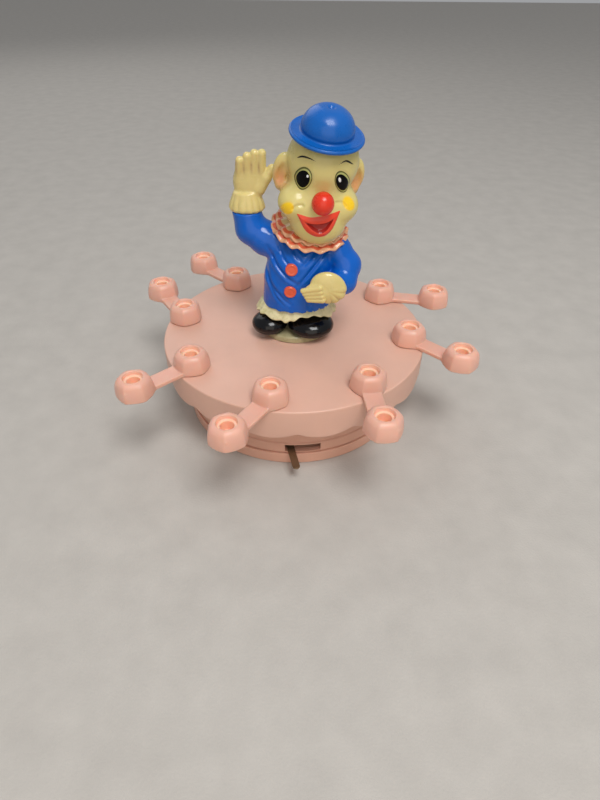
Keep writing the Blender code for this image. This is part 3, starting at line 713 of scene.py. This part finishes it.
# The painted features, as (u, v): u across the face to its left-hand side, v up it.
EYES = (((-9.2, 28.3), (3.3, 1.9), (-0.7, 5.0)), ((7.8, 28.7), (4.2, -1.8), (-1.1, 5.3)))
PUPILS = (((-9.4, 28.3), (2.5, 1.45), (-0.55, 3.85)), ((7.5, 28.9), (3.4, -1.5), (-0.85, 4.0)))
# Painted highlights: a light spot on each glossy eye.
PAINTED_GLINTS = (((-8.0, 30.6), (0.45, 0.2), (-0.1, 0.6)), ((5.8, 30.8), (0.7, -0.3), (-0.2, 1.1)))
SPOTS = (((-15.0, 15.7), (2.6, 1.5), (-0.3, 2.7)), ((12.2, 19.6), (3.0, -1.1), (0.0, 2.2)))
BROWS = (((-12.6, 35.2), (-10.6, 36.8), (-7.9, 37.3), (-5.0, 36.9)),
         ((11.8, 35.4), (8.1, 37.6), (5.8, 37.4), (3.6, 36.3)))
LIPS_TOP = ((-11.0, 14.8), (-5.5, 14.4), (-0.6, 15.6), (4.4, 16.8), (8.4, 17.6))
LIPS_BOTTOM = ((-11.0, 14.8), (-6.9, 8.4), (-2.4, 6.0), (0.8, 5.9), (3.8, 7.3), (6.4, 11.0), (8.4, 17.6))
MOUTH_TOP = ((-7.2, 11.9), (-3.2, 12.0), (-0.3, 12.5), (2.8, 13.3), (5.9, 14.9))
MOUTH_BOTTOM = ((-7.2, 11.9), (-2.8, 8.9), (0.4, 8.0), (2.9, 9.4), (5.9, 14.9))
CHEEK_CREASES = (((-12.8, 16.4), (-10.9, 18.0), (-8.6, 18.3)), ((10.8, 18.8), (9.2, 20.0), (5.8, 20.3)))
NOSE = np.array([-0.6, -18.2, 21.8])
NOSE_RADIUS = 5.0


def face_fields(p):
    """Signed distances of the painted features, seen from the front of the head."""
    u, v = p[:, 0], p[:, 2]
    back = np.where(p[:, 1] < 1.0, 0.0, 50.0)
    fields = {name: np.minimum(*[oval(u, v, *place) for place in places]) + back
              for name, places in (("eye", EYES), ("pupil", PUPILS), ("painted_glint", PAINTED_GLINTS), ("spot", SPOTS))}
    brows = []
    for points in BROWS:
        away, along = off_line(u, v, curved(points))
        brows.append(away - (0.04 + 0.26 * np.sin(np.pi * np.clip(along, 0, 1) ** 0.8) ** 1.2))
    fields["brow"] = np.minimum(*brows) + back
    fields["lips"] = between(u, v, LIPS_BOTTOM, LIPS_TOP) + back
    fields["mouth"] = between(u, v, MOUTH_BOTTOM, MOUTH_TOP) + back
    return fields


def head_field(p):
    skull = egg(p, (0.6, 1.0, 31.0), (16.1, 15.2, 14.5))
    jaw = egg(p, (0.3, -2.6, 13.6), (17.0, 15.8, 13.2))
    made = weld(skull, jaw, 5.0)
    made = weld(made, egg(p, (1.2, -10.0, 6.0), (12.2, 9.6, 8.9)), 4.5)
    for side in (-1, 1):
        made = weld(made, egg(p, (side * 11.0, -7.6, 15.2), (7.5, 8.2, 7.2)), 2.4)
    made = weld(made, limb(p, (0, 1.0, -1.0), (0, 1.0, 8.0), 8.5, 9.5), 2.0)
    for side in (-1, 1):
        lean = turned(0, -side * 9, 0)
        lobe = egg(p, (side * 17.3, 2.0, 25.4), (3.7, 2.7, 7.4), lean)
        lobe = weld(lobe, egg(p, (side * 16.6, 0.8, 18.6), (2.9, 2.4, 3.2)), 1.5)
        lobe = carve(lobe, egg(p, (side * 17.6, -1.8, 24.6), (2.4, 2.5, 5.0), lean), 1.0)
        made = weld(made, lobe, 1.2)
    u, v = p[:, 0], p[:, 2]
    made = common(made, v - 41.7, 0.8)
    eyes = np.minimum(*[oval(u, v, *place) for place in EYES])
    lips = between(u, v, LIPS_BOTTOM, LIPS_TOP)
    mouth = between(u, v, MOUTH_BOTTOM, MOUTH_TOP)
    relief = -0.3 * np.exp(-(eyes / 0.5) ** 2) + 0.5 * (1 - np.clip((eyes + 2.0) / 1.8, 0, 1))
    relief = relief + 0.75 * (1 - np.clip((lips + 1.2) / 1.3, 0, 1))
    relief = relief - 1.7 * (1 - np.clip((mouth + 0.9) / 1.0, 0, 1))
    for points in CHEEK_CREASES:
        away, _ = off_line(u, v, curved(points))
        relief = relief - 0.5 * np.exp(-(away / 0.6) ** 2)
    return made - np.where(p[:, 1] < -4, relief, 0.0)


def clown_head():
    verts, faces = surface(head_field, (-24, -22, -11), (24, 19, 43), 0.4)
    fields = face_fields(verts)
    ear = np.exp(-((np.abs(verts[:, 0]) - 17.8) / 3.2) ** 2 - ((verts[:, 1] + 0.8) / 2.6) ** 2
                 - ((verts[:, 2] - 22.5) / 5.0) ** 2)
    fields["ear"] = np.clip(0.95 * ear, 0, 1)
    piece("clown_face", to_row(verts), faces, face_look, "turntable", ["clown_head"], fields)

    ball = [(NOSE_RADIUS * math.cos(a), NOSE_RADIUS * math.sin(a))
            for a in np.linspace(math.pi / 2, -math.pi / 2, 33)]
    verts, faces = lathe([(0, ball[0][1]), *ball[1:-1], (0, ball[-1][1])], 64)
    verts = verts @ turned(90, 0, 0).T + NOSE
    piece("clown_red_nose", to_row(verts), faces, red_look, "turntable", ["clown_nose"])


def clown_hat():
    crown = spun([(0, 53.2), (0.7, 53.25), (1.4, 53.8), (2.4, 54.15), (5.6, 53.6), (8.9, 51.5), (10.9, 48.6),
                  (11.6, 46.0), (11.4, 44.7)])
    brim = softened([(11.4, 44.5), (11.8, 44.0, 0.3), (14.6, 43.8, 1.0), (15.6, 44.2, 0.6), (16.6, 43.4, 0.7),
                     (16.0, 42.3, 0.6), (12.0, 42.0), (0, 42.0)])
    verts, faces = lathe(crown[:-1] + brim, 128)
    piece("clown_derby", to_row(verts), faces, hat_look, "turntable", ["clown_hat"], sharp=50)


def collar():
    """Two softly pleated tiers of cream cloth, each with a coral line just inside its edge."""
    waves = 16
    for name, outer, drop, phase in (("ruff_upper_tier", 16.6, 0.0, 0.0),
                                     ("ruff_lower_tier", 18.6, -1.8, 0.9)):
        top = [(r, 2.5 + drop - 0.010 * r * r) for r in np.linspace(6.0, outer, 15)]
        rim = [(outer + 0.5, top[-1][1] - 0.35), (outer + 0.45, top[-1][1] - 0.95)]
        under = [(r, z - 1.2) for r, z in top[::-1]]

        def rolled(angles):
            return np.sin(waves * angles + phase + 0.6 * np.sin(3 * angles))

        def pleated(radii, heights, angles):
            share = np.clip((radii - 6.5) / (outer - 6.5), 0, 1)
            return radii + 0.25 * share * rolled(angles), heights + 0.8 * share ** 1.2 * rolled(angles + 0.05)

        verts, faces = lathe([*top, *rim, *under], waves * 16, pleated)
        radius, wave = np.hypot(verts[:, 0], verts[:, 1]), rolled(np.arctan2(verts[:, 1], verts[:, 0]))
        line = outer - 1.6 + 0.8 * wave
        # The last field follows the pleat wave; its low side carries the painted shade of the pleat valleys.
        piece(name, to_row(verts), faces, ruff_look, "turntable", ["collar_ruff"],
              {"trim": np.abs(radius - line) - 0.85, "edge": outer - 2.2 + 0.5 * wave - radius,
               "pleat_shade": wave + 0.5})


# ---------------------------------------------------------------- the clown's body
FOLDS = (
    (((-13, 93), (-9, 86), (-3, 80), (2, 77)), 0.8, 0.75),
    (((-8, 95), (-5, 89), (0, 84)), 0.7, 0.6),
    (((-1, 96), (1, 91), (5, 87)), 0.7, 0.6),
    (((17, 93), (11, 87), (6, 81), (2, 76)), 0.8, 0.75),
    (((12, 95), (8, 90), (4, 86)), 0.7, 0.6),
    (((-14, 84), (-12, 76), (-6, 69), (-2, 66)), 0.8, 0.7),
    (((-13, 76), (-9, 69), (-5, 65)), 0.6, 0.5),
    (((7, 72), (7.5, 68), (8, 64)), 0.6, 0.5),
    (((12, 72), (12, 68), (12.5, 64)), 0.6, 0.5),
    (((16, 72), (16, 68), (16.5, 64)), 0.6, 0.5),
)


def jacket_field(p):
    x, y, z = p.T
    radius = eased(z, (58, 63, 72, 80, 89, 95, 100), (17.9, 17.6, 16.9, 17.0, 15.0, 10.0, 5.0))
    middle = 1.5 + 4.0 * np.clip((z - 75) / 20, 0, 1)
    torso = (np.hypot(x - middle, (y - 0.0) / 0.80) - radius) * 0.85
    nicks = 1.5 * np.clip(np.sin(2.0 * x + 0.9) - 0.5, 0, 1) * np.clip((x - 3) / 3, 0.25, 1)
    torso = common(torso, 61.3 + 0.3 * np.sin(1.1 * x) + nicks - z, 0.5)
    torso = common(torso, z - 97.5, 2.0)
    raised = chain(p, ((-4, 2, 90), (-14, 3, 93.6), (-21, 3.6, 98.2), (-22.9, 4.2, 106.5)),
                   (8.6, 8.2, 7.6, 6.9), 1.5)
    raised = common(raised, z - 107.0, 0.6)
    bent = chain(p, ((12, 1, 91), (21, 0, 89), (26, -2, 82), (24.5, -7, 76), (19.5, -12, 77)),
                 (6.0, 7.0, 7.2, 6.6, 5.4), 1.5)
    made = weld(weld(torso, raised, 1.8), bent, 1.6)
    relief = np.zeros(len(p))
    for points, width, depth in FOLDS:
        away, along = off_line(x, z, curved(points, 5))
        fade = np.sin(np.pi * np.clip(along, 0.04, 0.96)) ** 0.6
        relief += depth * fade * (np.exp(-(away / width) ** 2) - 0.55 * np.exp(-((away - 1.7) / 1.1) ** 2))
    front = np.clip((-y - 1.0) / 4.0, 0, 1)
    return made + relief * front


def jacket():
    verts, faces = surface(jacket_field, (-33, -20, 59), (36, 17, 107), 0.42)
    piece("clown_jacket", verts, faces, blue_look, "turntable", ["clown_body"])


def hands():
    def raised(p):
        q = p - np.array([-22.6, 4.6, 0.0])
        angle = np.arctan2(q[:, 1] / 0.8, q[:, 0])
        size = np.hypot(q[:, 0], q[:, 1] / 0.8)
        flare = eased(q[:, 2], (106, 108, 110, 114, 117), (8.0, 8.5, 8.2, 6.8, 5.8))
        fluted = np.abs(np.cos(7 * angle + 0.3 * np.sin(2 * angle))) ** 0.7
        cuff = (size - flare - 0.55 * (fluted - 0.6) * np.clip((117 - q[:, 2]) / 6, 0, 1)) * 0.85
        cuff = common(common(cuff, 106.7 - q[:, 2], 2.4), q[:, 2] - 116.0, 0.8)
        palm = egg(p, (-20.8, 5.0, 120.4), (7.7, 4.0, 9.6), turned(0, 7, 0))
        made = weld(cuff, palm, 1.5)
        for i in range(4):
            root = (-25.4 + 3.3 * i, 4.2, 121.5 + 0.3 * i)
            tip = (-24.6 + 3.4 * i, 1.6, 130.4 + (0.0, 1.9, 3.1, 3.2)[i])
            made = weld(made, limb(p, root, tip, 2.4, 1.85), 1.1)
        thumb = chain(p, ((-16.6, 4.4, 117.5), (-13.0, 3.6, 122.5), (-10.2, 3.2, 126.6)),
                      (3.4, 2.6, 2.0), 0.8)
        return weld(made, thumb, 0.9)

    verts, faces = surface(raised, (-34, -5, 103), (-7, 15, 136), 0.36)
    # Thin bands between the fingers, on the front of the hand, where brown painted shade goes.
    across = np.abs(((verts[:, 0] + 24.5) / 3.4) % 1.0 - 0.5) * 3.4
    reach = np.clip((verts[:, 2] - 124.0) / 2.0, 0, 1) * np.clip((131.0 - verts[:, 2]) / 2.0, 0, 1)
    finger_groove_shade = 0.7 * np.exp(-(across / 0.5) ** 2) * reach * (verts[:, 1] < 3.0) * (verts[:, 0] < -13.6)
    piece("clown_raised_hand", verts, faces, hand_look, "turntable", ["raised_hand"],
          {"finger_groove_shade": finger_groove_shade})

    def waist(p):
        wrist = np.array([16.5, -16.6, 77.4])
        q = (p - wrist) @ turned(0, 22, 0)
        angle = np.arctan2(q[:, 2], q[:, 0])
        fluted = np.abs(np.cos(6.0 * angle + 0.9)) ** 0.5 * np.clip(np.cos(angle + 0.7), 0, 1)
        outward = np.clip(np.hypot(q[:, 0], q[:, 2]) / 8, 0, 1)
        fan = egg(q, (0, 0, 0), (8.9, 3.4, 7.8)) - 0.8 * fluted * outward
        made = weld(fan, egg(p, (11.8, -18.0, 75.4), (6.6, 2.6, 4.4), turned(0, 12, 0)), 1.0)
        for i in range(4):
            root, tip = (12.5 + 0.5 * i, -19.6, 78.4 - 2.1 * i), (4.4 + 0.9 * i, -18.6, 76.4 - 1.6 * i)
            made = weld(made, limb(p, root, tip, 1.65, 1.3), 0.22)
        return made

    verts, faces = surface(waist, (0, -24, 66), (28, -11, 88), 0.38)
    piece("clown_waist_hand", verts, faces, cream_look, "turntable", ["waist_hand"])


def buttons():
    for i, (x, z, lean) in enumerate(((-1.1, 84.4, -6), (-1.8, 73.0, 2)), 1):
        depths = np.linspace(-20, -8, 241)
        inside = jacket_field(np.stack([np.full(241, x), depths, np.full(241, z)], 1)) < 0
        verts, faces = lathe(softened([(0, 1.2), (1.6, 1.0, 0.5), (2.5, 1.35, 0.4), (3.1, 0.7, 0.5),
                                       (3.1, -1.2), (0, -1.2)]), 48)
        verts = verts @ turned(90 + lean, 0, 0).T + np.array([x, depths[inside.argmax()], z])
        piece(f"jacket_button_{i}", verts, faces, coral_look, "turntable", (), sharp=50)


def hem():
    """A gathered frill that flares down to its uneven edge."""
    gathers = 19

    def gathered(radii, heights, angles):
        share = np.clip((63.0 - heights) / 7.5, 0, 1)
        wave = np.sin(gathers * angles + 1.3 * np.sin(4 * angles) + 0.7 * np.sin(7 * angles))
        across = radii * np.cos(angles)
        lift = eased(across, (-22, -12, -4, 3, 11, 18, 23), (1.4, 0.4, -0.2, 2.6, 2.4, -0.6, 0.2))
        lift = np.where(np.sin(angles) < 0, lift * np.clip(-3 * np.sin(angles), 0, 1), 0.0)
        return radii + 0.45 * (0.5 + 0.6 * share) * wave, heights + share ** 2 * (lift - 0.3 * wave)

    profile = softened([(0, 62.9), (16.4, 62.9, 0.3), (18.3, 61.4, 0.4), (21.2, 56.2, 0.9), (20.0, 55.2, 0.9),
                        (14.0, 56.5), (0, 56.5)])
    verts, faces = lathe(profile, gathers * 20, gathered)
    verts = verts * np.array([1, 0.72, 1]) + np.array([1.0, 1.2, 0])
    piece("jacket_frill", verts, faces, frill_look, "turntable", ["hem_frill"])


def feet():
    centre, half = np.array([0.8, 0.1, 0]), np.array([1, 14.4 / 16.6, 1])
    verts, faces = lathe(softened([(0, 46.5), (16.2, 46.5, 1.2), (16.6, 43.3, 0.4), (0, 43.3)]), 96)
    piece("figure_base", verts * half + centre, faces, stand_look, "turntable", ["figure_stand"],
          sharp=50)
    for name, node, toe, size, ankle in (
            ("left_shoe", "shoe_left", (-13.0, -4.5, 50.1), (9.3, 9.3, 5.8), (-9.0, 3.0, 52.5)),
            ("right_shoe", "shoe_right", (8.9, -5.9, 50.3), (12.0, 11.5, 6.1), (7.0, 3.6, 52.5))):
        def field(p):
            made = weld(egg(p, toe, size), egg(p, ankle, (7.6, 6.4, 5.2)), 3.0)
            welt = np.exp(-((p[:, 2] - 48.6) / 0.35) ** 2)
            return common(made + 0.25 * welt, 46.8 - p[:, 2], 0.7)

        verts, faces = surface(field, (toe[0] - 14, -18, 45.5), (toe[0] + 14, 12, 60), 0.4)
        piece("clown_" + name, verts, faces, black_look, "turntable", [node])


# ---------------------------------------------------------------- carried-over CAD pieces
def dress_hidden_parts():
    brass = ("great_wheel", "spring_barrel", "melody_cylinder", "comb_block", "shaft_bush")
    for name, node in frame["nodes"].items():
        if node.hide_render:
            continue
        look = steel_look
        if name in brass:
            look = brass_look
        elif name == "mainspring":
            look = spring_look
        elif name == "thrust_washer":
            look = nylon_look
        node.data.materials.clear()
        node.data.materials.append(look.material)
        edge = node.modifiers.new("edge", "BEVEL")
        edge.width, edge.segments = 0.08 * MM, 1
        edge.limit_method, edge.angle_limit = "ANGLE", math.radians(50)


# ---------------------------------------------------------------- stage, lights, camera
def stage():
    mesh = bpy.data.meshes.new("floor")
    mesh.from_pydata([(-3, -3, 0), (3, -3, 0), (3, 3, 0), (-3, 3, 0)], [], [(0, 1, 2, 3)])
    look = Look("pale_floor", (0.50, 0.47, 0.43), 0.85)
    look.feed("Base Color", look.tinted(0.05, 60.0))
    look.bump(look.noise(900.0, 4.0), 0.25, 0.6)
    mesh.materials.append(look.material)
    floor = bpy.data.objects.new("floor", mesh)
    bpy.context.scene.collection.objects.link(floor)

    world = bpy.data.worlds.new("studio")
    world.use_nodes = True
    sky = world.node_tree.nodes["Background"]
    sky.inputs["Color"].default_value = (0.95, 0.97, 1.0, 1)
    sky.inputs["Strength"].default_value = 0.36
    bpy.context.scene.world = world
    bpy.context.scene.view_settings.view_transform = "Standard"
    for name, place, size, power in (("key", (0.20, -0.46, 0.98), 0.46, 7.1),
                                     ("back", (-0.5, 0.9, 0.9), 0.9, 2.4),
                                     ("bounce", (0.05, -0.9, 0.34), 0.9, 2.2)):
        data = bpy.data.lights.new(name, "AREA")
        data.size, data.energy = size, power
        if name == "bounce":
            data.color, data.specular_factor = (1.0, 0.88, 0.74), 0.25
        lamp = bpy.data.objects.new(name, data)
        lamp.location = place
        lamp.rotation_euler = (Vector((0, 0, 0.06)) - Vector(place)).to_track_quat("-Z", "Y").to_euler()
        bpy.context.scene.collection.objects.link(lamp)


def camera():
    pitch, roll = math.radians(39.59), math.radians(0.515)
    right, up = Vector((1, 0, 0)), Vector((0, math.sin(pitch), math.cos(pitch)))
    ahead = Vector((0, math.cos(pitch), -math.sin(pitch)))
    side = right * math.cos(roll) + up * math.sin(roll)
    top = up * math.cos(roll) - right * math.sin(roll)
    data = bpy.data.cameras.new("camera")
    data.sensor_width = 36.0
    data.lens = 24.753
    data.clip_start, data.clip_end = 0.01, 20.0
    made = bpy.data.objects.new("camera", data)
    turn = Matrix((side, top, -ahead)).transposed()
    made.matrix_world = Matrix.Translation((0.003495, -0.25656, 0.20492)) @ turn.to_4x4()
    bpy.context.scene.collection.objects.link(made)
    bpy.context.scene.camera = made


base_shell()
bottom_cover()
stop_lever()
turntable()
candle_arms()
clown_head()
clown_hat()
collar()
jacket()
hands()
buttons()
hem()
feet()
dress_hidden_parts()
stage()
camera()
